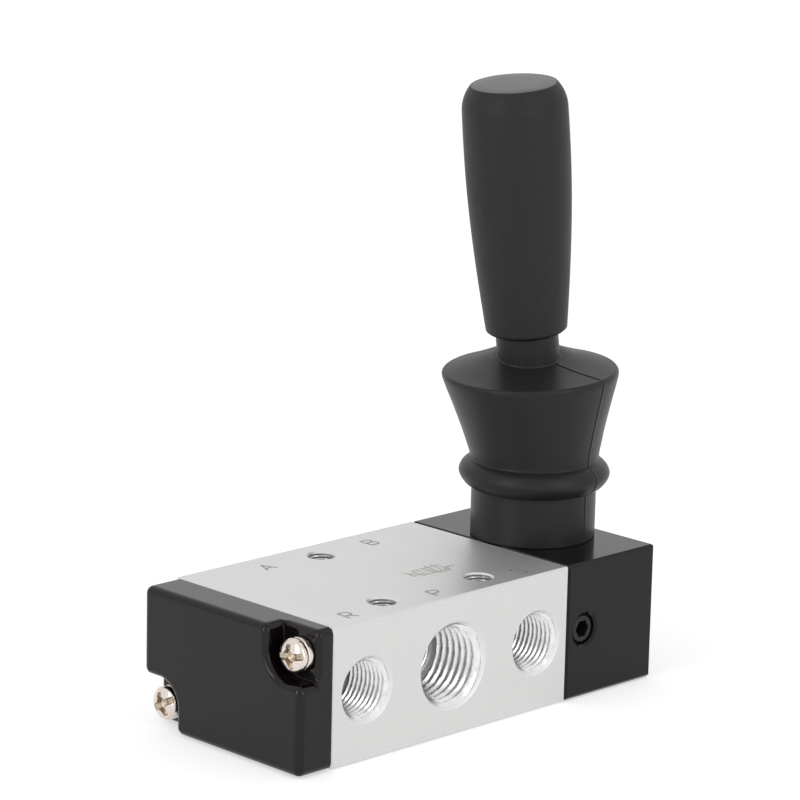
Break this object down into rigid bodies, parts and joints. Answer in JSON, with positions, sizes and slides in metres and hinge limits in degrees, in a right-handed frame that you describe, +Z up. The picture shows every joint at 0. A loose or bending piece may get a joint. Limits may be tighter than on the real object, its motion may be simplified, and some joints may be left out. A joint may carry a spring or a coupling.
{
  "type": "manual reversing valve",
  "caption": "Hand lever pneumatic valve: ported block with a sliding spool, black end cap and lever housing, bellows boot on the lever and a swelling grip handle.",
  "frame": {"origin": "middle of the valve body's underside, the face that is bolted down", "axes": "+X along the spool towards the lever end, -Y out of the supply and exhaust ports, +Z up along the mounting holes"},
  "size_m": [0.0792, 0.035, 0.0963],
  "materials": {
    "body_metal": "fine satin, machined",
    "spool_metal": "turned",
    "black_metal": "black, satin",
    "black_plastic": "moulded, fine grain",
    "handle_plastic": "moulded, fine grain",
    "boot_rubber": "soft moulded rubber",
    "seal_rubber": "smooth",
    "screw_steel": "nickel plated",
    "dark_steel": "black oxide",
    "bright_steel": "ground",
    "insert_brass": "turned"
  },
  "bodies": {
    "valve": {"valve_body": "body_metal", "end_cap": "black_plastic", "end_cap_seal": "seal_rubber", "end_cap_screws": "screw_steel", "end_cap_washers": "screw_steel", "rod_seal": "seal_rubber", "lever_housing": "black_metal", "housing_screws": "screw_steel", "housing_washers": "screw_steel", "detent_set_screw": "dark_steel", "detent_spring": "bright_steel", "detent_ball": "bright_steel", "lever_turret": "spool_metal", "turret_seal": "seal_rubber", "pivot_pin": "bright_steel", "dust_boot": "boot_rubber"},
    "lever": {"lever_stem": "bright_steel", "handle_insert": "insert_brass", "handle_grip": "handle_plastic"},
    "spool": {"spool": "spool_metal", "spool_seals": "seal_rubber"}
  },
  "joints": [
    {"name": "lever_rock", "type": "hinge", "parent": "valve", "child": "lever", "pos_m": [0.0353, 0, 0.032], "axis": [0, 1, 0], "range_deg": [0, 13.2], "deforming": ["dust_boot"]},
    {"name": "spool_slide", "type": "slide", "parent": "valve", "child": "spool", "axis": [1, 0, 0], "range_m": [-0.00483, 0]}
  ],
  "couplings": [
    {"joint": "spool_slide", "follows": "lever_rock", "m_per_rad": -0.020952}
  ]
}
